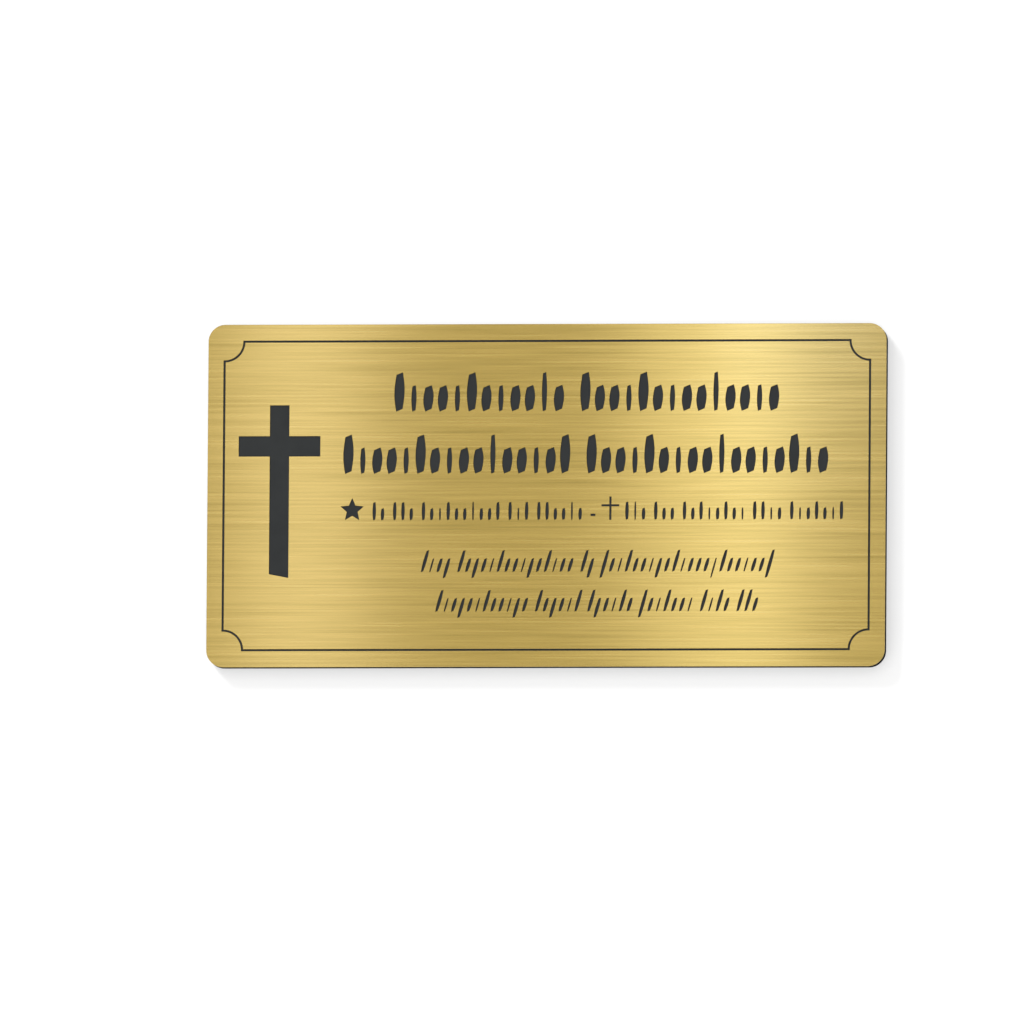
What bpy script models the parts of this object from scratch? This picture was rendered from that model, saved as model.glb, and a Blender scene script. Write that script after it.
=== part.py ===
# Memorial plaque of two-ply engraving sheet, upright, facing -Y, its flat back in the plane y = 0.
# The origin is the middle of the back face, X runs to the right and Z up. Lengths are in metres.
# A thin brushed gold cap is bonded to a charcoal core, and every mark is cut through the cap.

import math

import bmesh
import bpy

# Sheet
PLAQUE_WIDTH = 0.200
PLAQUE_HEIGHT = 0.101
CORNER_RADIUS = 0.005
CORE_THICKNESS = 0.0047
BOND_THICKNESS = 0.00005
CAP_THICKNESS = 0.00025

# Border line, measured to the line's middle. A quarter circle round each of its corners bows inwards.
BORDER_SIDE_INSET = 0.0048
BORDER_HEAD_INSET = 0.0050
BORDER_LINE = 0.0006
NOTCH_RADIUS = 0.0058

# Large cross at the left, its foot cut on a slant
CROSS_MARGIN = 0.00435
CROSS_SPAN = 0.0241
CROSS_HEIGHT = 0.0509
CROSS_STEM = 0.0057
CROSS_ARM = 0.0060
CROSS_ARM_DROP = 0.0121
CROSS_FOOT_SLANT = 0.0011
CROSS_LIFT = 0.00125

# Inscription field, between the large cross and the border line
FIELD_GAP = 0.00615
FIELD_MARGIN = 0.0069
FIELD_HEAD_MARGIN = 0.00915
FIELD_FOOT_MARGIN = 0.0112

# Marks in the date row. STAR_WAIST is the inner corners' share of the radius, and SMALL_CROSS_PLACE the width
# kept free for the small cross, so that its arms reach into the gaps beside it.
STAR_RADIUS = 0.0036
STAR_WAIST = 0.46
STAR_LIFT = 0.0001
SMALL_CROSS_PLACE = 0.0036
SMALL_CROSS_SPAN = 0.0052
SMALL_CROSS_HEIGHT = 0.0069
SMALL_CROSS_LINE = 0.0006
SMALL_CROSS_ARM_DROP = 0.0026
DASH_LENGTH = 0.0014
DASH_LINE = 0.0007
DASH_LIFT = 0.0015

# Strokes: each swells towards its middle, and its ends are cut across at a pen's angle
STROKE_END = 0.62
STROKE_NIB = 0.42
THIN_SHARE = 0.5

# Stroke sizes of each kind of row. rise and thin say every how many strokes one is tall or thin,
# drop every how many one hangs below the line, and lean is the sideways run of a stroke for each unit up.
NAME_STROKES = {
    "tall": 0.0116,
    "short": 0.0078,
    "width": 0.0030,
    "gap": 0.0048,
    "rise": 5,
    "thin": 3,
    "drop": 0,
    "hang": 0.0,
    "lean": 0.0,
    "steps": 4,
}
DATE_STROKES = {
    "tall": 0.0054,
    "short": 0.0036,
    "width": 0.0010,
    "gap": 0.0026,
    "rise": 3,
    "thin": 4,
    "drop": 0,
    "hang": 0.0,
    "lean": 0.0,
    "steps": 2,
}
VERSE_STROKES = {
    "tall": 0.0065,
    "short": 0.0041,
    "width": 0.0010,
    "gap": 0.0028,
    "rise": 6,
    "thin": 4,
    "drop": 7,
    "hang": 0.0018,
    "lean": 0.27,
    "steps": 2,
}

# Rows from the top. A number is a word of that many strokes. length is a share of the field's width, and
# space_below is a share of the height that the rows leave free.
ROWS = (
    {"strokes": NAME_STROKES, "length": 0.762, "shift": -0.0021, "space_below": 0.232, "items": (12, 14)},
    {"strokes": NAME_STROKES, "length": 0.960, "shift": -0.0023, "space_below": 0.286, "items": (16, 17)},
    {
        "strokes": DATE_STROKES,
        "length": 0.995,
        "shift": -0.0004,
        "space_below": 0.303,
        "items": ("star", 2, 3, 10, 3, 6, "dash", "cross", 3, 3, 8, 4, 7),
    },
    {"strokes": VERSE_STROKES, "length": 0.691, "shift": 0.0006, "space_below": 0.179, "items": (4, 15, 2, 22)},
    {"strokes": VERSE_STROKES, "length": 0.634, "shift": 0.0007, "space_below": 0.0, "items": (12, 6, 6, 7, 4, 3)},
)

# Facets and cutters
CORNER_STEPS = 8
NOTCH_STEPS = 10
CUTTER_OVERRUN = 0.0005

# Sizes that follow from the ones above
CORE_FRONT = -CORE_THICKNESS
CAP_BACK = CORE_FRONT - BOND_THICKNESS
CAP_FRONT = CAP_BACK - CAP_THICKNESS
BORDER_HALF_WIDTH = PLAQUE_WIDTH / 2 - BORDER_SIDE_INSET
BORDER_HALF_HEIGHT = PLAQUE_HEIGHT / 2 - BORDER_HEAD_INSET
CROSS_CENTRE_X = -BORDER_HALF_WIDTH + CROSS_MARGIN + CROSS_SPAN / 2
FIELD_LEFT = CROSS_CENTRE_X + CROSS_SPAN / 2 + FIELD_GAP
FIELD_RIGHT = BORDER_HALF_WIDTH - FIELD_MARGIN
FIELD_TOP = BORDER_HALF_HEIGHT - FIELD_HEAD_MARGIN
FIELD_FOOT = -BORDER_HALF_HEIGHT + FIELD_FOOT_MARGIN
STAR_WIDTH = 2 * STAR_RADIUS * math.sin(math.radians(72))

# Colours, as linear red, green and blue
GOLD = (0.60, 0.46, 0.16)
GOLD_ROUGHNESS = 0.35
CHARCOAL = (0.041, 0.044, 0.045)
CHARCOAL_ROUGHNESS = 0.6


def around(centre, radius, degrees):
    """The point in the XZ plane at an angle round a centre, anticlockwise from +X."""
    angle = math.radians(degrees)
    return (centre[0] + radius * math.cos(angle), centre[1] + radius * math.sin(angle))


def arc(centre, radius, start, end, steps):
    """Points along an arc between two angles in degrees."""
    return [around(centre, radius, start + (end - start) * i / steps) for i in range(steps + 1)]


def corner_centres(half_width, half_height):
    """The four corners of a rectangle with the turn of each in degrees, anticlockwise from the upper right."""
    return (
        ((half_width, half_height), 0),
        ((-half_width, half_height), 90),
        ((-half_width, -half_height), 180),
        ((half_width, -half_height), 270),
    )


def sheet_outline():
    """Rectangle with rounded corners."""
    outline = []
    half_width = PLAQUE_WIDTH / 2 - CORNER_RADIUS
    half_height = PLAQUE_HEIGHT / 2 - CORNER_RADIUS
    for centre, turn in corner_centres(half_width, half_height):
        outline += arc(centre, CORNER_RADIUS, turn, turn + 90, CORNER_STEPS)
    return outline


def border_outline(offset):
    """The border line's path, moved inwards by offset: straight sides and a notch round each corner."""
    outline = []
    radius = NOTCH_RADIUS + offset
    swing = math.degrees(math.asin(offset / radius))
    for centre, turn in corner_centres(BORDER_HALF_WIDTH, BORDER_HALF_HEIGHT):
        outline += arc(centre, radius, turn + 270 - swing, turn + 180 + swing, NOTCH_STEPS)
    return outline


def cross_outline(centre_x, foot, height, span, stem, arm, arm_drop, foot_slant):
    """Upright cross with a long stem. foot is its lowest point, at the stem's right corner."""
    top = foot + height
    left = centre_x - stem / 2
    right = centre_x + stem / 2
    arm_top = top - arm_drop + arm / 2
    arm_foot = arm_top - arm
    return [
        (right, foot),
        (right, arm_foot),
        (centre_x + span / 2, arm_foot),
        (centre_x + span / 2, arm_top),
        (right, arm_top),
        (right, top),
        (left, top),
        (left, arm_top),
        (centre_x - span / 2, arm_top),
        (centre_x - span / 2, arm_foot),
        (left, arm_foot),
        (left, foot + foot_slant),
    ]


def star_outline(centre_x, centre_z):
    """Regular five-pointed star, one point up."""
    outline = []
    for i in range(5):
        outline.append(around((centre_x, centre_z), STAR_RADIUS, 90 + 72 * i))
        outline.append(around((centre_x, centre_z), STAR_RADIUS * STAR_WAIST, 126 + 72 * i))
    return outline


def dash_outline(left, base):
    """Short level dash."""
    low = base + DASH_LIFT - DASH_LINE / 2
    high = low + DASH_LINE
    return [(left, low), (left + DASH_LENGTH, low), (left + DASH_LENGTH, high), (left, high)]


def stroke_outline(centre_x, base, foot, top, width, lean, steps):
    """One engraved stroke from foot to top, which leans about the row's base line."""
    right = []
    left = []
    for i in range(steps + 1):
        share = i / steps
        z = foot + (top - foot) * share
        half = width / 2 * (STROKE_END + (1 - STROKE_END) * math.sin(math.pi * share))
        tilt = STROKE_NIB * half
        x = centre_x + lean * (z - base)
        right.append((x + half + lean * tilt, z + tilt))
        left.append((x - half - lean * tilt, z - tilt))
    return right + left[::-1]


def word_outlines(left, base, count, pitch, strokes, order):
    """The strokes of one word. order is the word's place in its row and shifts the rhythm."""
    outlines = []
    for i in range(count):
        beat = i + order
        tall = i == 0 or beat % strokes["rise"] == 0
        thin = i > 0 and beat % strokes["thin"] == 1
        hangs = strokes["drop"] and beat % strokes["drop"] == 3
        width = strokes["width"] * (THIN_SHARE if thin else 1)
        top = base + (strokes["tall"] if tall else strokes["short"])
        foot = base - (strokes["hang"] if hangs else 0)
        reach = STROKE_NIB * STROKE_END * width / 2
        centre_x = left + strokes["width"] / 2 + pitch * i
        outlines.append(
            stroke_outline(centre_x, base, foot + reach, top - reach, width, strokes["lean"], strokes["steps"])
        )
    return outlines


def item_width(item, strokes, pitch):
    """Width along the row of a mark, or of a word of so many strokes."""
    marks = {"star": STAR_WIDTH, "cross": SMALL_CROSS_PLACE, "dash": DASH_LENGTH}
    if item in marks:
        return marks[item]
    return strokes["width"] + pitch * (item - 1)


def row_outlines(row, base):
    """Every mark and stroke of one row, spread so that the row has its length."""
    strokes = row["strokes"]
    items = row["items"]
    length = row["length"] * (FIELD_RIGHT - FIELD_LEFT)
    fixed = sum(item_width(item, strokes, 0) for item in items) + strokes["gap"] * (len(items) - 1)
    pitch = (length - fixed) / sum(item - 1 for item in items if isinstance(item, int))
    left = (FIELD_LEFT + FIELD_RIGHT - length) / 2 + row["shift"]
    outlines = []
    for order, item in enumerate(items):
        width = item_width(item, strokes, pitch)
        middle = left + width / 2
        if item == "star":
            centre_z = base + STAR_LIFT + STAR_RADIUS * math.cos(math.radians(36))
            outlines.append(star_outline(middle, centre_z))
        elif item == "dash":
            outlines.append(dash_outline(left, base))
        elif item == "cross":
            outlines.append(
                cross_outline(
                    middle,
                    base,
                    SMALL_CROSS_HEIGHT,
                    SMALL_CROSS_SPAN,
                    SMALL_CROSS_LINE,
                    SMALL_CROSS_LINE,
                    SMALL_CROSS_ARM_DROP,
                    0,
                )
            )
        else:
            outlines += word_outlines(left, base, item, pitch, strokes, order)
        left += width + strokes["gap"]
    return outlines


def inscription_outlines():
    """All rows, from the top of the field to its foot."""
    free = FIELD_TOP - FIELD_FOOT - sum(row["strokes"]["tall"] for row in ROWS)
    outlines = []
    top = FIELD_TOP
    for row in ROWS:
        base = top - row["strokes"]["tall"]
        outlines += row_outlines(row, base)
        top = base - free * row["space_below"]
    return outlines


def material(name, colour, metallic, roughness):
    made = bpy.data.materials.new(name)
    made.use_nodes = True
    shader = made.node_tree.nodes["Principled BSDF"]
    shader.inputs["Base Color"].default_value = (*colour, 1)
    shader.inputs["Metallic"].default_value = metallic
    shader.inputs["Roughness"].default_value = roughness
    made.diffuse_color = (*colour, 1)
    return made


def plate(name, outlines, front, back):
    """Closed prisms between two planes of constant Y, one for each outline, as one object."""
    mesh = bpy.data.meshes.new(name)
    shape = bmesh.new()
    for outline in outlines:
        front_ring = [shape.verts.new((x, front, z)) for x, z in outline]
        back_ring = [shape.verts.new((x, back, z)) for x, z in outline]
        shape.faces.new(front_ring)
        shape.faces.new(back_ring[::-1])
        for i in range(len(outline)):
            j = (i + 1) % len(outline)
            shape.faces.new((front_ring[j], front_ring[i], back_ring[i], back_ring[j]))
    bmesh.ops.recalc_face_normals(shape, faces=shape.faces)
    shape.to_mesh(mesh)
    shape.free()
    made = bpy.data.objects.new(name, mesh)
    bpy.context.scene.collection.objects.link(made)
    return made


def cutter(name, outlines):
    """Prisms that run right through the cap, hidden from the render."""
    made = plate(name, outlines, CAP_FRONT - CUTTER_OVERRUN, CAP_BACK + CUTTER_OVERRUN)
    made.hide_render = True
    made.display_type = "WIRE"
    return made


def cut(piece, tool):
    modifier = piece.modifiers.new(tool.name, "BOOLEAN")
    modifier.operation = "DIFFERENCE"
    modifier.solver = "EXACT"
    modifier.object = tool


def make_core_sheet(charcoal):
    core = plate("core_sheet", [sheet_outline()], CORE_FRONT, 0)
    core.data.materials.append(charcoal)


def make_face_rim(gold):
    """The cap outside the border line."""
    rim = plate("face_rim", [sheet_outline()], CAP_FRONT, CAP_BACK)
    rim.data.materials.append(gold)
    cut(rim, cutter("border_cutter", [border_outline(-BORDER_LINE / 2)]))


def make_face_panel(gold):
    """The cap inside the border line, with the marks cut through it."""
    panel = plate("face_panel", [border_outline(BORDER_LINE / 2)], CAP_FRONT, CAP_BACK)
    panel.data.materials.append(gold)
    large_cross = cross_outline(
        CROSS_CENTRE_X,
        CROSS_LIFT - CROSS_HEIGHT / 2,
        CROSS_HEIGHT,
        CROSS_SPAN,
        CROSS_STEM,
        CROSS_ARM,
        CROSS_ARM_DROP,
        CROSS_FOOT_SLANT,
    )
    cut(panel, cutter("engraving_cutter", [large_cross] + inscription_outlines()))


def main():
    for old in list(bpy.data.objects):
        bpy.data.objects.remove(old)
    gold = material("brushed_gold", GOLD, 1.0, GOLD_ROUGHNESS)
    charcoal = material("charcoal_core", CHARCOAL, 0.0, CHARCOAL_ROUGHNESS)
    make_core_sheet(charcoal)
    make_face_rim(gold)
    make_face_panel(gold)


main()
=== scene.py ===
# Plaque of two-ply engraving sheet: a brushed gold cap on a charcoal core, marks cut through the cap.
# Shapes are laid out in millimetres, x right and y up. The node tree stands them upright in metres.

import math

import bmesh
import bpy
from mathutils import Matrix, Vector


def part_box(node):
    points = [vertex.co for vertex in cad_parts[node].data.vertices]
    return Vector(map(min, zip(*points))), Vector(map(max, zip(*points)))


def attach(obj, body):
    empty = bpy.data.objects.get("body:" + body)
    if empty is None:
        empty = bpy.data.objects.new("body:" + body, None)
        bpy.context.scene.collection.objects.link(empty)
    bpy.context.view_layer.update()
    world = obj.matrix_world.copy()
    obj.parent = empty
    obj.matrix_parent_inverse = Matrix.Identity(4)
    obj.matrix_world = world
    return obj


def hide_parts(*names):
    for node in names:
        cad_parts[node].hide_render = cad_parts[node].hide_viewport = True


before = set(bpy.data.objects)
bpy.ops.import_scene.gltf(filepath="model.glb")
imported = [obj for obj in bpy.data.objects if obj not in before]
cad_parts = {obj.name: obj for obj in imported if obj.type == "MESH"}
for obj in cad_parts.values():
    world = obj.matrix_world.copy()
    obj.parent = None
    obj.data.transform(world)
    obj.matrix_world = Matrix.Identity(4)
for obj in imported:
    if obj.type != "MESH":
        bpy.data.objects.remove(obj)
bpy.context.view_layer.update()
print("frame loaded, nodes:", ", ".join(sorted(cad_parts)))

perMetre = 1000.0  # millimetres in a metre


# Small helpers for node trees.


def feed(tree, socket, value):
    if isinstance(value, bpy.types.NodeSocket):
        tree.links.new(value, socket)
    else:
        socket.default_value = value


def addNode(tree, kind, inputs=None, **settings):
    node = tree.nodes.new(kind)
    for name, value in settings.items():
        setattr(node, name, value)
    for key, value in (inputs or {}).items():
        feed(tree, node.inputs[key], value)
    return node


def calc(tree, operation, *values):
    node = tree.nodes.new("ShaderNodeMath")
    node.operation = operation
    for socket, value in zip(node.inputs, values):
        feed(tree, socket, value)
    return node.outputs[0]


def readAttribute(tree, name):
    node = addNode(tree, "GeometryNodeInputNamedAttribute", {"Name": name}, data_type="FLOAT")
    return node.outputs["Attribute"]


def storeAttribute(tree, geometry, name, value, domain="POINT"):
    inputs = {"Geometry": geometry, "Name": name, "Value": value}
    node = addNode(tree, "GeometryNodeStoreNamedAttribute", inputs, data_type="FLOAT", domain=domain)
    return node.outputs["Geometry"]


# Materials.

noiseRoughness = 0.55

goldFinish = {
    "darkGold": (0.412, 0.292, 0.063, 1),
    "lightGold": (0.568, 0.402, 0.100, 1),
    "fineGrain": (28.0, 1.0, 1750.0),  # noise cells per metre: along the grain, deep, across it
    "longGrain": (8.0, 1.0, 1150.0),
    "cloudGrain": (9.0, 1.0, 60.0),
    "fineShare": 0.55,  # of the streaks
    "streakShare": 0.85,  # of the tone
    "roughLow": 0.25,
    "roughHigh": 0.28,
    "anisotropy": 0.94,
    "coatWeight": 0.25,
    "coatRoughness": 0.3,
    "grainDepth": 0.000004,
    "bumpStrength": 0.5,
}


def newMaterial(name):
    made = bpy.data.materials.new(name)
    made.use_nodes = True
    return made, made.node_tree, made.node_tree.nodes["Principled BSDF"]


def noiseOn(tree, scale, detail, place=(0.0, 0.0, 0.0)):
    coords = addNode(tree, "ShaderNodeTexCoord").outputs["Object"]
    inputs = {"Vector": coords, "Location": place, "Scale": scale}
    mapped = addNode(tree, "ShaderNodeMapping", inputs).outputs["Vector"]
    inputs = {"Vector": mapped, "Scale": 1.0, "Detail": detail, "Roughness": noiseRoughness}
    return addNode(tree, "ShaderNodeTexNoise", inputs).outputs[0]


def remap(tree, value, low, high, fromLow=0.3, fromHigh=0.7):
    inputs = {"Value": value, "From Min": fromLow, "From Max": fromHigh, "To Min": low, "To Max": high}
    return addNode(tree, "ShaderNodeMapRange", inputs, clamp=False).outputs[0]


def blend(tree, first, second, share):
    rest = calc(tree, "MULTIPLY", second, 1 - share)
    return calc(tree, "ADD", calc(tree, "MULTIPLY", first, share), rest)


def mixTones(tree, share, dark, light):
    mix = addNode(tree, "ShaderNodeMix", {0: share, 6: dark, 7: light}, data_type="RGBA")
    return mix.outputs[2]


def addBump(tree, shader, height, strength, depth):
    inputs = {"Height": height, "Strength": strength, "Distance": depth}
    bump = addNode(tree, "ShaderNodeBump", inputs)
    feed(tree, shader.inputs["Normal"], bump.outputs["Normal"])


def makeBrushedGold(finish):
    made, tree, shader = newMaterial("brushedGold")
    fine = noiseOn(tree, finish["fineGrain"], 1.0)
    long = noiseOn(tree, finish["longGrain"], 1.0, (0.7, 0.0, 0.3))
    cloud = noiseOn(tree, finish["cloudGrain"], 2.0, (0.2, 0.0, 0.9))
    streaks = blend(tree, fine, long, finish["fineShare"])
    tone = blend(tree, streaks, cloud, finish["streakShare"])
    toneShare = remap(tree, tone, 0.0, 1.0, 0.33, 0.67)
    colour = mixTones(tree, toneShare, finish["darkGold"], finish["lightGold"])
    feed(tree, shader.inputs["Base Color"], colour)
    roughness = remap(tree, streaks, finish["roughLow"], finish["roughHigh"])
    feed(tree, shader.inputs["Roughness"], roughness)
    addBump(tree, shader, streaks, finish["bumpStrength"], finish["grainDepth"])
    tangent = addNode(tree, "ShaderNodeTangent", direction_type="UV_MAP", uv_map="grainMap")
    feed(tree, shader.inputs["Tangent"], tangent.outputs["Tangent"])
    shader.inputs["Metallic"].default_value = 1.0
    shader.inputs["Anisotropic"].default_value = finish["anisotropy"]
    shader.inputs["Coat Weight"].default_value = finish["coatWeight"]
    shader.inputs["Coat Roughness"].default_value = finish["coatRoughness"]
    return made


charcoalFinish = {
    "darkTone": (0.0099, 0.0106, 0.0105, 1),
    "lightTone": (0.0142, 0.0153, 0.0152, 1),
    "roughLow": 0.5,
    "roughHigh": 0.68,
    "specular": 0.12,
    "sideSpecular": 0.0,
    "grain": 2600.0,  # fine tooth of the sheet, cells per metre
    "mottle": 140.0,
    "toothShare": 0.5,  # of the tone
    "toothDepth": 0.00002,
    "sawPitch": 2300.0,
    "sawLength": 60.0,  # sawn marks run across the thickness
    "sawDepth": 0.00003,
    "bumpStrength": 0.6,
}


def makeCharcoal(name, finish, sawn):
    made, tree, shader = newMaterial(name)
    if sawn:
        tooth = noiseOn(tree, (finish["sawPitch"], finish["sawLength"], finish["sawPitch"]), 2.0)
    else:
        tooth = noiseOn(tree, (finish["grain"],) * 3, 2.0)
    mottle = noiseOn(tree, (finish["mottle"],) * 3, 3.0, (0.4, 0.1, 0.6))
    toneShare = remap(tree, blend(tree, tooth, mottle, finish["toothShare"]), 0.0, 1.0)
    colour = mixTones(tree, toneShare, finish["darkTone"], finish["lightTone"])
    feed(tree, shader.inputs["Base Color"], colour)
    roughness = remap(tree, tooth, finish["roughLow"], finish["roughHigh"])
    feed(tree, shader.inputs["Roughness"], roughness)
    depth = finish["sawDepth"] if sawn else finish["toothDepth"]
    addBump(tree, shader, tooth, finish["bumpStrength"], depth)
    specular = finish["sideSpecular"] if sawn else finish["specular"]
    shader.inputs["Specular IOR Level"].default_value = specular
    return made


backFinish = {
    **charcoalFinish,
    "darkTone": (0.0085, 0.0092, 0.0094, 1),
    "lightTone": (0.0215, 0.0230, 0.0232, 1),
    "roughLow": 0.3,  # the back keeps the smoother skin of the sheet
    "roughHigh": 0.42,
    "specular": 0.5,
    "mottle": 70.0,
}

brushedGold = makeBrushedGold(goldFinish)
charcoalFace = makeCharcoal("charcoalFace", charcoalFinish, sawn=False)
charcoalSide = makeCharcoal("charcoalSide", charcoalFinish, sawn=True)
charcoalBack = makeCharcoal("charcoalBack", backFinish, sawn=False)
print("materials made")


# Outlines, as lists of (x, y) in millimetres.


def aroundPoint(centre, radius, degrees):
    angle = math.radians(degrees)
    return (centre[0] + radius * math.cos(angle), centre[1] + radius * math.sin(angle))


def arcPoints(centre, radius, start, end, steps):
    return [aroundPoint(centre, radius, start + (end - start) * i / steps) for i in range(steps + 1)]


def cornersOf(halfWidth, halfHeight):
    # each corner with its turn in degrees, anticlockwise from the upper right
    return (
        ((halfWidth, halfHeight), 0),
        ((-halfWidth, halfHeight), 90),
        ((-halfWidth, -halfHeight), 180),
        ((halfWidth, -halfHeight), 270),
    )


coreLow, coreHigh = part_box("core_sheet")
panelLow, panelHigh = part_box("face_panel")

plate = {
    "width": (coreHigh[0] - coreLow[0]) * perMetre,
    "height": (coreHigh[2] - coreLow[2]) * perMetre,
    "cornerRadius": 5.0,
    "cornerSteps": 16,
}


def plateOutline():
    halfWidth = plate["width"] / 2 - plate["cornerRadius"]
    halfHeight = plate["height"] / 2 - plate["cornerRadius"]
    outline = []
    for centre, turn in cornersOf(halfWidth, halfHeight):
        outline += arcPoints(centre, plate["cornerRadius"], turn, turn + 90, plate["cornerSteps"])
    return outline


border = {
    "sideInset": 4.8,  # plate edge to the middle of the line
    "headInset": 5.0,
    "line": 0.6,
    "notchRadius": 5.8,
    "notchSteps": 28,
}
borderHalfWidth = plate["width"] / 2 - border["sideInset"]
borderHalfHeight = plate["height"] / 2 - border["headInset"]


def borderOutline(offset):
    # straight sides with a quarter circle bitten out of each corner, moved inwards by offset
    radius = border["notchRadius"] + offset
    swing = math.degrees(math.asin(offset / radius))
    outline = []
    for centre, turn in cornersOf(borderHalfWidth, borderHalfHeight):
        start = turn + 270 - swing
        end = turn + 180 + swing
        outline += arcPoints(centre, radius, start, end, border["notchSteps"])
    return outline


largeCross = {
    "margin": 4.35,  # border line to the left arm
    "span": 24.1,
    "height": 50.9,
    "stem": 5.7,
    "arm": 6.0,
    "armDrop": 12.1,
    "footSlant": 1.1,
    "lift": 1.25,
}
crossCentreX = -borderHalfWidth + largeCross["margin"] + largeCross["span"] / 2


def crossOutline(centreX, foot, size):
    top = foot + size["height"]
    left = centreX - size["stem"] / 2
    right = centreX + size["stem"] / 2
    armTop = top - size["armDrop"] + size["arm"] / 2
    armFoot = armTop - size["arm"]
    return [
        (right, foot),
        (right, armFoot),
        (centreX + size["span"] / 2, armFoot),
        (centreX + size["span"] / 2, armTop),
        (right, armTop),
        (right, top),
        (left, top),
        (left, armTop),
        (centreX - size["span"] / 2, armTop),
        (centreX - size["span"] / 2, armFoot),
        (left, armFoot),
        (left, foot + size["footSlant"]),
    ]


# waist is the inner corners' share of the radius
star = {"radius": 3.6, "waist": 0.46, "lift": 0.1}
starWidth = 2 * star["radius"] * math.sin(math.radians(72))


def starOutline(centre):
    outline = []
    for i in range(5):
        outline.append(aroundPoint(centre, star["radius"], 90 + 72 * i))
        outline.append(aroundPoint(centre, star["radius"] * star["waist"], 126 + 72 * i))
    return outline


smallCross = {
    "place": 3.6,  # width kept free for it, so that its arms reach into the gaps beside it
    "span": 5.2,
    "height": 6.9,
    "stem": 0.6,
    "arm": 0.6,
    "armDrop": 2.6,
    "footSlant": 0.0,
}
dash = {"length": 1.4, "line": 0.7, "lift": 1.5}


def dashOutline(left, base):
    low = base + dash["lift"] - dash["line"] / 2
    high = low + dash["line"]
    right = left + dash["length"]
    return [(left, low), (right, low), (right, high), (left, high)]


# The rows of cut strokes.

field = {"gap": 6.15, "margin": 6.9, "headMargin": 9.15, "footMargin": 11.2}
fieldLeft = crossCentreX + largeCross["span"] / 2 + field["gap"]
fieldRight = borderHalfWidth - field["margin"]
fieldTop = borderHalfHeight - field["headMargin"]
fieldFoot = -borderHalfHeight + field["footMargin"]

cutter = {
    "endShare": 0.62,  # width at the ends of a stroke, as a share of its middle
    "nibSlope": 0.42,
    "thinShare": 0.5,
    "steps": 12,
}

# rise, thin and drop say every how many strokes one is tall, thin or hangs below the line
nameStrokes = {
    "tall": 11.6,
    "short": 7.8,
    "width": 3.0,
    "gap": 4.8,
    "rise": 5,
    "thin": 3,
    "drop": 0,
    "hang": 0.0,
    "lean": 0.0,
}
dateStrokes = {
    "tall": 5.4,
    "short": 3.6,
    "width": 1.0,
    "gap": 2.6,
    "rise": 3,
    "thin": 4,
    "drop": 0,
    "hang": 0.0,
    "lean": 0.0,
}
verseStrokes = {
    "tall": 6.5,
    "short": 4.1,
    "width": 1.0,
    "gap": 2.8,
    "rise": 6,
    "thin": 4,
    "drop": 7,
    "hang": 1.8,
    "lean": 0.27,
}

# a number among the items is a word of that many strokes
# length is a share of the field's width, spaceBelow a share of its free height
rows = (
    {
        "strokes": nameStrokes,
        "length": 0.762,
        "shift": -2.1,
        "spaceBelow": 0.232,
        "items": (12, 14),
    },
    {
        "strokes": nameStrokes,
        "length": 0.960,
        "shift": -2.3,
        "spaceBelow": 0.286,
        "items": (16, 17),
    },
    {
        "strokes": dateStrokes,
        "length": 0.995,
        "shift": -0.4,
        "spaceBelow": 0.303,
        "items": ("star", 2, 3, 10, 3, 6, "dash", "cross", 3, 3, 8, 4, 7),
    },
    {
        "strokes": verseStrokes,
        "length": 0.691,
        "shift": 0.6,
        "spaceBelow": 0.179,
        "items": (4, 15, 2, 22),
    },
    {
        "strokes": verseStrokes,
        "length": 0.634,
        "shift": 0.7,
        "spaceBelow": 0.0,
        "items": (12, 6, 6, 7, 4, 3),
    },
)


def wordStrokes(left, base, count, pitch, strokes, order):
    made = []
    for i in range(count):
        beat = i + order
        tall = i == 0 or beat % strokes["rise"] == 0
        thin = i > 0 and beat % strokes["thin"] == 1
        hangs = strokes["drop"] and beat % strokes["drop"] == 3
        width = strokes["width"] * (cutter["thinShare"] if thin else 1)
        reach = cutter["nibSlope"] * cutter["endShare"] * width / 2
        made.append(
            {
                "place": (left + strokes["width"] / 2 + pitch * i, base),
                "strokeWidth": width,
                "strokeFoot": reach - (strokes["hang"] if hangs else 0),
                "strokeTop": (strokes["tall"] if tall else strokes["short"]) - reach,
                "strokeLean": strokes["lean"],
            }
        )
    return made


def itemWidth(item, strokes, pitch):
    marks = {"star": starWidth, "cross": smallCross["place"], "dash": dash["length"]}
    if item in marks:
        return marks[item]
    return strokes["width"] + pitch * (item - 1)


def layRow(row, base, outlines, strokePoints):
    strokes = row["strokes"]
    items = row["items"]
    length = row["length"] * (fieldRight - fieldLeft)
    gaps = strokes["gap"] * (len(items) - 1)
    fixed = sum(itemWidth(item, strokes, 0) for item in items) + gaps
    pitch = (length - fixed) / sum(item - 1 for item in items if isinstance(item, int))
    left = (fieldLeft + fieldRight - length) / 2 + row["shift"]
    for order, item in enumerate(items):
        width = itemWidth(item, strokes, pitch)
        middle = left + width / 2
        if item == "star":
            rest = star["radius"] * math.cos(math.radians(36))
            outlines.append(starOutline((middle, base + star["lift"] + rest)))
        elif item == "dash":
            outlines.append(dashOutline(left, base))
        elif item == "cross":
            outlines.append(crossOutline(middle, base, smallCross))
        else:
            strokePoints += wordStrokes(left, base, item, pitch, strokes, order)
        left += width + strokes["gap"]


def layInscription():
    outlines = []
    strokePoints = []
    free = fieldTop - fieldFoot - sum(row["strokes"]["tall"] for row in rows)
    top = fieldTop
    for row in rows:
        base = top - row["strokes"]["tall"]
        layRow(row, base, outlines, strokePoints)
        top = base - free * row["spaceBelow"]
    return outlines, strokePoints


# The node tree: outlines and stroke points in, closed sheet with eased rims out.


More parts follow.
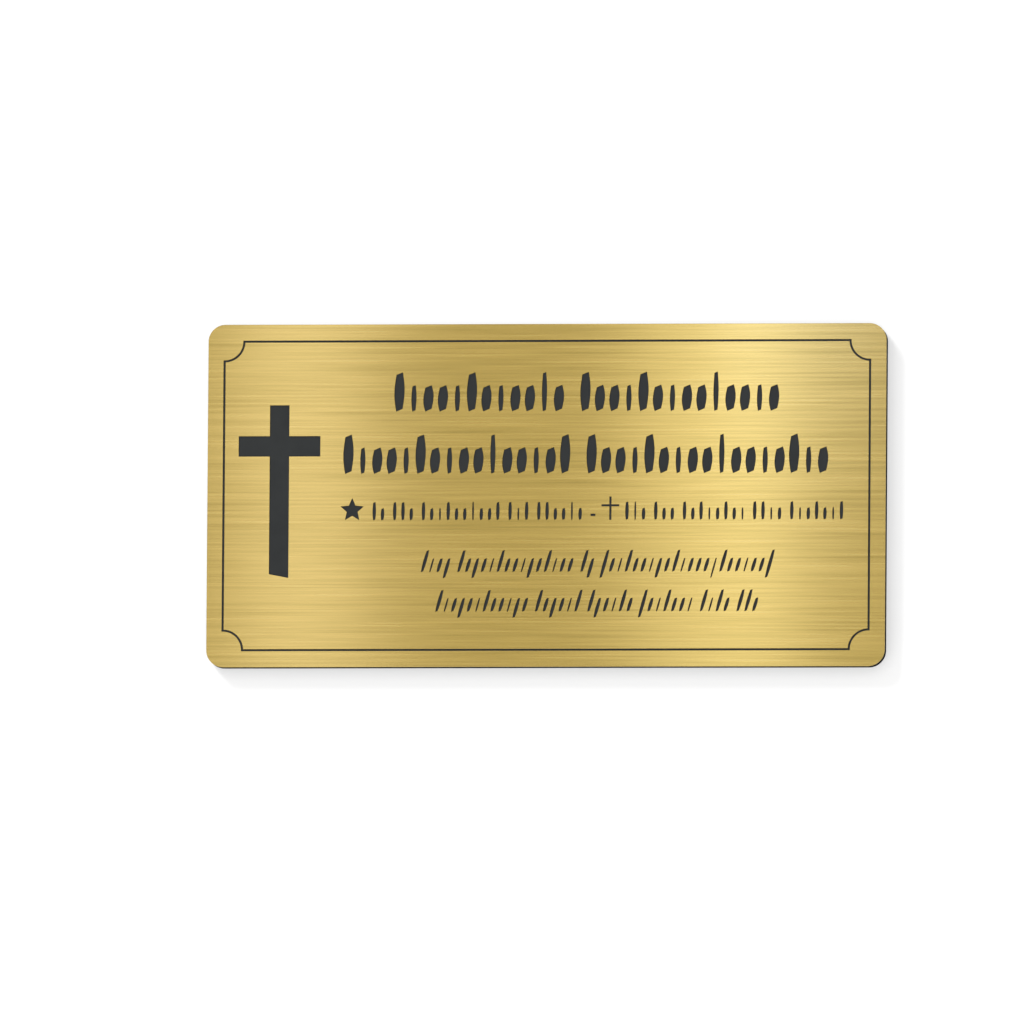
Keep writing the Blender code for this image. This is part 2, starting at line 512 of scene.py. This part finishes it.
def treeInputs(tree, sockets):
    for name, kind in sockets:
        tree.interface.new_socket(name, in_out="INPUT", socket_type=kind)
    tree.interface.new_socket("Geometry", in_out="OUTPUT", socket_type="NodeSocketGeometry")
    return addNode(tree, "NodeGroupInput").outputs, addNode(tree, "NodeGroupOutput")


def unitStroke(tree, steps):
    # a ring of points, each with its share of the way up and its side, right 1 and left -1
    count = calc(tree, "MULTIPLY", calc(tree, "ADD", steps, 1.0), 2.0)
    ring = addNode(tree, "GeometryNodeCurvePrimitiveCircle", {"Resolution": count, "Radius": 1.0})
    index = addNode(tree, "GeometryNodeInputIndex").outputs[0]
    goesDown = calc(tree, "GREATER_THAN", index, calc(tree, "ADD", steps, 0.5))
    back = calc(tree, "SUBTRACT", calc(tree, "SUBTRACT", count, 1.0), index)
    swap = calc(tree, "MULTIPLY", goesDown, calc(tree, "SUBTRACT", back, index))
    turned = calc(tree, "ADD", swap, index)
    share = calc(tree, "DIVIDE", turned, steps)
    side = calc(tree, "SUBTRACT", 1.0, calc(tree, "MULTIPLY", goesDown, 2.0))
    curve = storeAttribute(tree, ring.outputs["Curve"], "strokeShare", share)
    return storeAttribute(tree, curve, "strokeSide", side)


def shapeStrokes(tree, points, steps, endShare, nibSlope):
    placed = storeAttribute(tree, points, "strokeX", splitPosition(tree).outputs["X"])
    placed = storeAttribute(tree, placed, "strokeBase", splitPosition(tree).outputs["Y"])
    inputs = {"Points": placed, "Instance": unitStroke(tree, steps)}
    rings = addNode(tree, "GeometryNodeInstanceOnPoints", inputs).outputs["Instances"]
    curves = addNode(tree, "GeometryNodeRealizeInstances", {"Geometry": rings}).outputs[0]
    share = readAttribute(tree, "strokeShare")
    side = readAttribute(tree, "strokeSide")
    foot = readAttribute(tree, "strokeFoot")
    length = calc(tree, "SUBTRACT", readAttribute(tree, "strokeTop"), foot)
    height = calc(tree, "ADD", foot, calc(tree, "MULTIPLY", length, share))
    arch = calc(tree, "SINE", calc(tree, "MULTIPLY", share, math.pi))
    swell = calc(tree, "MULTIPLY", calc(tree, "SUBTRACT", 1.0, endShare), arch)
    half = calc(tree, "MULTIPLY", readAttribute(tree, "strokeWidth"), 0.5)
    half = calc(tree, "MULTIPLY", half, calc(tree, "ADD", endShare, swell))
    across = calc(tree, "MULTIPLY", half, side)
    tilt = calc(tree, "MULTIPLY", calc(tree, "MULTIPLY", nibSlope, half), side)
    level = calc(tree, "ADD", height, tilt)
    slide = calc(tree, "MULTIPLY", readAttribute(tree, "strokeLean"), level)
    x = calc(tree, "ADD", readAttribute(tree, "strokeX"), calc(tree, "ADD", across, slide))
    y = calc(tree, "ADD", readAttribute(tree, "strokeBase"), level)
    place = addNode(tree, "ShaderNodeCombineXYZ", {"X": x, "Y": y}).outputs[0]
    inputs = {"Geometry": curves, "Position": place}
    return addNode(tree, "GeometryNodeSetPosition", inputs).outputs[0]


def splitPosition(tree):
    position = addNode(tree, "GeometryNodeInputPosition")
    return addNode(tree, "ShaderNodeSeparateXYZ", {"Vector": position.outputs[0]})


def joinGeometry(tree, *parts):
    node = addNode(tree, "GeometryNodeJoinGeometry")
    for part in parts:
        tree.links.new(part, node.inputs[0])
    return node.outputs[0]


welding = {
    "distance": 0.0001,  # millimetres
    "planeReach": 0.001,
    "leastBend": 0.7,  # radians, from where an edge is a rim
}


def buildSheetTree():
    tree = bpy.data.node_groups.new("engravedSheet", "GeometryNodeTree")
    sizes, out = treeInputs(
        tree,
        (
            ("Outlines", "NodeSocketGeometry"),
            ("Back", "NodeSocketFloat"),
            ("Thickness", "NodeSocketFloat"),
            ("Eased Plane", "NodeSocketFloat"),
            ("Stroke Steps", "NodeSocketFloat"),
            ("Stroke End Share", "NodeSocketFloat"),
            ("Nib Slope", "NodeSocketFloat"),
            ("Material", "NodeSocketMaterial"),
        ),
    )
    isStroke = calc(tree, "GREATER_THAN", readAttribute(tree, "strokeWidth"), 0.0)
    inputs = {"Geometry": sizes["Outlines"], "Selection": isStroke}
    parts = addNode(tree, "GeometryNodeSeparateGeometry", inputs, domain="POINT")
    loops = addNode(tree, "GeometryNodeMeshToCurve", {"Mesh": parts.outputs["Inverted"]})
    nib = (sizes["Stroke Steps"], sizes["Stroke End Share"], sizes["Nib Slope"])
    strokes = shapeStrokes(tree, parts.outputs["Selection"], *nib)
    drawn = joinGeometry(tree, loops.outputs[0], strokes)
    sheet = addNode(tree, "GeometryNodeFillCurve", {"Curve": drawn}, mode="TRIANGLES").outputs[0]
    depth = addNode(tree, "ShaderNodeCombineXYZ", {"Z": sizes["Thickness"]}).outputs[0]
    inputs = {"Mesh": sheet, "Offset": depth, "Individual": False}
    raised = addNode(tree, "GeometryNodeExtrudeMesh", inputs, mode="FACES").outputs["Mesh"]
    backFace = addNode(tree, "GeometryNodeFlipFaces", {"Mesh": sheet}).outputs[0]
    shell = joinGeometry(tree, raised, backFace)
    inputs = {"Geometry": shell, "Distance": welding["distance"]}
    closed = addNode(tree, "GeometryNodeMergeByDistance", inputs).outputs[0]
    z = splitPosition(tree).outputs["Z"]
    onPlane = calc(tree, "COMPARE", z, sizes["Eased Plane"], welding["planeReach"])
    bend = addNode(tree, "GeometryNodeInputMeshEdgeAngle").outputs["Unsigned Angle"]
    isRim = calc(tree, "GREATER_THAN", bend, welding["leastBend"])
    weight = calc(tree, "MULTIPLY", onPlane, isRim)
    weighted = storeAttribute(tree, closed, "bevel_weight_edge", weight, "EDGE")
    forward = calc(tree, "MULTIPLY", sizes["Back"], -1 / perMetre)
    shift = addNode(tree, "ShaderNodeCombineXYZ", {"Y": forward}).outputs[0]
    inputs = {
        "Geometry": weighted,
        "Translation": shift,
        "Rotation": (math.pi / 2, 0.0, 0.0),
        "Scale": (1 / perMetre, 1 / perMetre, 1 / perMetre),
    }
    upright = addNode(tree, "GeometryNodeTransform", inputs).outputs[0]
    whole = addNode(tree, "GeometryNodeRealizeInstances", {"Geometry": upright}).outputs[0]
    inputs = {"Geometry": whole, "Material": sizes["Material"]}
    painted = addNode(tree, "GeometryNodeSetMaterial", inputs).outputs[0]
    feed(tree, out.inputs[0], painted)
    return tree


def layoutMesh(name, outlines, strokePoints):
    points = []
    edges = []
    for outline in outlines:
        first = len(points)
        points += [(x, y, 0.0) for x, y in outline]
        edges += [(first + i, first + (i + 1) % len(outline)) for i in range(len(outline))]
    loopCount = len(points)
    points += [(*stroke["place"], 0.0) for stroke in strokePoints]
    mesh = bpy.data.meshes.new(name)
    mesh.from_pydata(points, edges, [])
    for key in ("strokeWidth", "strokeFoot", "strokeTop", "strokeLean"):
        values = [0.0] * loopCount + [stroke[key] for stroke in strokePoints]
        mesh.attributes.new(key, "FLOAT", "POINT").data.foreach_set("value", values)
    return mesh


def setInput(modifier, name, value):
    for item in modifier.node_group.interface.items_tree:
        if item.name == name and item.in_out == "INPUT":
            modifier[item.identifier] = value


shading = {
    "sharpAngle": 25,  # degrees
    "flatNormal": 0.95,  # share of a flat face's normal along y
    "sideNormal": 0.5,  # and at most this share on a side
}


def bakeSheet(name, tree, outlines, strokePoints, sheet, material):
    drawing = layoutMesh(name + "Layout", outlines, strokePoints)
    layout = bpy.data.objects.new(name + "Layout", drawing)
    bpy.context.scene.collection.objects.link(layout)
    nodes = layout.modifiers.new("engravedSheet", "NODES")
    nodes.node_group = tree
    setInput(nodes, "Back", sheet["back"])
    setInput(nodes, "Thickness", sheet["thickness"])
    setInput(nodes, "Eased Plane", sheet["thickness"] if sheet["easeFront"] else 0.0)
    setInput(nodes, "Stroke Steps", float(cutter["steps"]))
    setInput(nodes, "Stroke End Share", cutter["endShare"])
    setInput(nodes, "Nib Slope", cutter["nibSlope"])
    setInput(nodes, "Material", material)
    bevel = layout.modifiers.new("easedRim", "BEVEL")
    bevel.limit_method = "WEIGHT"
    bevel.width = sheet["ease"] / perMetre
    bevel.segments = sheet["easeSteps"]
    bevel.use_clamp_overlap = False
    ready = layout.evaluated_get(bpy.context.evaluated_depsgraph_get())
    mesh = bpy.data.meshes.new_from_object(ready)
    mesh.name = name
    mesh.materials.pop(index=0)  # the layout's empty slot
    bpy.data.objects.remove(layout)
    made = bpy.data.objects.new(name, mesh)
    bpy.context.scene.collection.objects.link(made)
    mesh.set_sharp_from_angle(angle=math.radians(shading["sharpAngle"]))
    for face in mesh.polygons:
        face.use_smooth = abs(face.normal.y) < shading["flatNormal"]
    addGrainMap(mesh)
    return made


def addGrainMap(mesh):
    # u runs up the plaque, across the brushed grain, so that highlights spread up and down
    layer = mesh.uv_layers.new(name="grainMap")
    for loop, uv in zip(mesh.loops, layer.data):
        x, y, z = mesh.vertices[loop.vertex_index].co
        uv.uv = (z + y, x + y)


def reportShape(piece):
    shape = bmesh.new()
    shape.from_mesh(piece.data)
    openEdges = sum(1 for edge in shape.edges if not edge.is_manifold)
    volume = shape.calc_volume() * perMetre**3
    print(f"{piece.name}: {len(shape.faces)} faces, {openEdges} open edges, {volume:.1f} mm3")
    shape.free()


sheetTree = buildSheetTree()
markOutlines, strokePoints = layInscription()
crossFoot = largeCross["lift"] - largeCross["height"] / 2
crossShape = crossOutline(crossCentreX, crossFoot, largeCross)

coreSheet = {
    "back": 0.0,
    "thickness": (coreHigh[1] - coreLow[1]) * perMetre,
    "easeFront": False,
    "ease": 0.25,
    "easeSteps": 2,
}
core = bakeSheet("coreSheet", sheetTree, [plateOutline()], [], coreSheet, charcoalFace)
core.data.materials.append(charcoalSide)
core.data.materials.append(charcoalBack)
for face in core.data.polygons:
    if abs(face.normal.y) < shading["sideNormal"]:
        face.material_index = 1
    elif face.normal.y > 0:
        face.material_index = 2
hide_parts("core_sheet")
reportShape(core)

capSheet = {
    "back": -panelHigh[1] * perMetre,
    "thickness": (panelHigh[1] - panelLow[1]) * perMetre,
    "easeFront": True,
    "ease": 0.03,
    "easeSteps": 1,
}
rimShapes = [plateOutline(), borderOutline(-border["line"] / 2)]
rim = bakeSheet("faceRim", sheetTree, rimShapes, [], capSheet, brushedGold)
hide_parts("face_rim")
reportShape(rim)

panelShapes = [borderOutline(border["line"] / 2), crossShape] + markOutlines
panel = bakeSheet("facePanel", sheetTree, panelShapes, strokePoints, capSheet, brushedGold)
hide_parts("face_panel")
reportShape(panel)

for piece in (core, rim, panel):
    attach(piece, "root")
print("plaque made:", len(strokePoints), "cut strokes")


# Wall, floor, light and camera.

room = {
    "wallGap": 0.0015,  # metres behind the back face, as on foam tape
    "wallSize": 3.0,
    "floorHeight": -1.2,
    "floorSize": 16.0,
    "wallTone": 0.3,
    "wallGlow": 0.43,  # keeps the wall pale close to the plaque, outside its shadow
    "floorTone": 0.9,
    "floorGlow": 0.15,
    "grain": 90.0,  # cells per metre
    "darkShare": 0.99,  # of the tone, in the grain's dark spots
    "roughness": 0.95,
}


def plane(name, size, world, material):
    mesh = bpy.data.meshes.new(name)
    half = size / 2
    corners = [(-half, -half, 0), (half, -half, 0), (half, half, 0), (-half, half, 0)]
    mesh.from_pydata(corners, [], [(0, 1, 2, 3)])
    mesh.transform(world)
    mesh.materials.append(material)
    made = bpy.data.objects.new(name, mesh)
    bpy.context.scene.collection.objects.link(made)
    return made


def makePlaster(name, tone, glow, oneSided):
    made, tree, shader = newMaterial(name)
    grain = noiseOn(tree, (room["grain"],) * 3, 3.0)
    dark = tone * room["darkShare"]
    colour = mixTones(tree, grain, (dark, dark, dark, 1), (tone, tone, tone, 1))
    feed(tree, shader.inputs["Base Color"], colour)
    shader.inputs["Roughness"].default_value = room["roughness"]
    shader.inputs["Specular IOR Level"].default_value = 0.0
    shader.inputs["Emission Color"].default_value = (1, 1, 1, 1)
    shader.inputs["Emission Strength"].default_value = glow
    if oneSided:
        # the wall is there from the front alone, so the back of the plaque can be looked at
        side = addNode(tree, "ShaderNodeNewGeometry").outputs["Backfacing"]
        clear = addNode(tree, "ShaderNodeBsdfTransparent").outputs[0]
        mix = addNode(tree, "ShaderNodeMixShader", {0: side, 1: shader.outputs[0], 2: clear})
        feed(tree, tree.nodes["Material Output"].inputs["Surface"], mix.outputs[0])
    return made


wallPlaster = makePlaster("wallPlaster", room["wallTone"], room["wallGlow"], True)
standing = Matrix.Translation((0, room["wallGap"], 0)) @ Matrix.Rotation(math.pi / 2, 4, "X")
wall = plane("wall", room["wallSize"], standing, wallPlaster)
wall.visible_shadow = False
wall.visible_diffuse = False
wall.visible_glossy = False
paleFloor = makePlaster("paleFloor", room["floorTone"], room["floorGlow"], False)
lying = Matrix.Translation((0, 0, room["floorHeight"]))
plane("floor", room["floorSize"], lying, paleFloor)
print("wall and floor made")

studio = {
    "ambient": 0.79,  # what the plaque sees all round
    "ambientTint": (1.0, 0.995, 0.985),
    "backdrop": 1.0,  # what the camera sees beyond the wall
    "key": {
        "place": (-1.10, -1.40, 1.44),
        "size": (0.6, 0.6),
        "radiance": 56.0,
        "tint": (1, 1, 1),
    },
    "front": {
        "place": (0.0, -2.6, 0.2),
        "size": (2.4, 2.4),
        "radiance": 3.5,
        "tint": (1, 1, 1),
    },
    "leftStrip": {
        "place": (-0.1155, -0.4, 0.44),
        "size": (0.0385, 1.07),
        "radiance": 1.25,
        "tint": (0.89, 1, 1.95),
    },
    "rightStrip": {
        "place": (0.0122, -0.4, 0.44),
        "size": (0.0505, 1.07),
        "radiance": 1.05,
        "tint": (0.88, 1, 1.65),
    },
    "rightCore": {
        "place": (0.0238, -0.39, 0.43),
        "size": (0.0187, 1.04),
        "radiance": 0.8,
        "tint": (0.88, 1, 1.65),
    },
    "upperStrip": {
        "place": (0.0580, -0.2, 0.105),
        "size": (0.053, 0.06),
        "radiance": 1.1,
        "tint": (0.68, 1, 3.2),
    },
    "backFill": {
        "place": (-1.4, 2.2, 1.5),
        "size": (1.6, 1.6),
        "radiance": 5.0,
        "tint": (1, 1, 1),
    },
    "backSheen": {
        "place": (1.5, 1.7, -0.4),
        "size": (0.7, 1.4),
        "radiance": 0.9,
        "tint": (1, 1, 1),
    },
}


def panelLight(name, setup, reaches):
    data = bpy.data.lights.new(name, "AREA")
    data.shape = "RECTANGLE"
    data.size = setup["size"][0]
    data.size_y = setup["size"][1]
    data.energy = setup["radiance"] * math.pi * setup["size"][0] * setup["size"][1]
    data.color = setup["tint"]
    light = bpy.data.objects.new(name, data)
    light.location = setup["place"]
    light.visible_camera = False
    light.visible_diffuse = "matt" in reaches
    light.visible_glossy = "gloss" in reaches
    bpy.context.scene.collection.objects.link(light)
    return light


def aimAt(item, target):
    item.rotation_euler = (Vector(target) - item.location).to_track_quat("-Z", "Y").to_euler()


key = panelLight("keySoftbox", studio["key"], "matt")
aimAt(key, (0, 0, 0))
front = panelLight("frontSoftbox", studio["front"], "matt")
aimAt(front, (0, 0, 0))
backFill = panelLight("backFill", studio["backFill"], "matt gloss")
aimAt(backFill, (0, 0, 0))
backSheen = panelLight("backSheen", studio["backSheen"], "gloss")
aimAt(backSheen, (0, 0, 0))
for name in ("leftStrip", "rightStrip", "rightCore", "upperStrip"):
    strip = panelLight(name, studio[name], "gloss")
    strip.rotation_euler = (math.pi / 2, 0, 0)
print("lights set")

world = bpy.data.worlds.new("studioWorld")
world.use_nodes = True
sky = world.node_tree
sky.nodes["Background"].inputs["Color"].default_value = (*studio["ambientTint"], 1)
sky.nodes["Background"].inputs["Strength"].default_value = studio["ambient"]
backdropInputs = {"Color": (1, 1, 1, 1), "Strength": studio["backdrop"]}
backdrop = addNode(sky, "ShaderNodeBackground", backdropInputs).outputs[0]
isSeen = addNode(sky, "ShaderNodeLightPath").outputs["Is Camera Ray"]
choiceInputs = {0: isSeen, 1: sky.nodes["Background"].outputs[0], 2: backdrop}
choice = addNode(sky, "ShaderNodeMixShader", choiceInputs).outputs[0]
feed(sky, sky.nodes["World Output"].inputs["Surface"], choice)
bpy.context.scene.world = world
bpy.context.scene.view_settings.view_transform = "Standard"

shot = {
    "azimuth": 5.7,
    "elevation": -5.3,
    "distance": 10.0,
    "frameWidth": 0.3005,  # what the picture takes in at the plaque
    "aim": (-0.01004, -0.005, -0.00493),
    "roll": 0.40,
    "sensor": 36.0,
    "near": 0.05,
    "far": 50.0,
}
turn = math.radians(shot["azimuth"])
tip = math.radians(shot["elevation"])
away = Vector((math.sin(turn) * math.cos(tip), -math.cos(turn) * math.cos(tip), math.sin(tip)))
cameraData = bpy.data.cameras.new("plaqueCamera")
cameraData.sensor_width = shot["sensor"]
cameraData.lens = shot["sensor"] * shot["distance"] / shot["frameWidth"]
cameraData.clip_start = shot["near"]
cameraData.clip_end = shot["far"]
camera = bpy.data.objects.new("plaqueCamera", cameraData)
bpy.context.scene.collection.objects.link(camera)
camera.location = Vector(shot["aim"]) + away * shot["distance"]
looking = (-away).to_track_quat("-Z", "Y").to_matrix().to_4x4()
rolled = looking @ Matrix.Rotation(math.radians(shot["roll"]), 4, "Z")
camera.rotation_euler = rolled.to_euler()
bpy.context.scene.camera = camera
print("camera set")
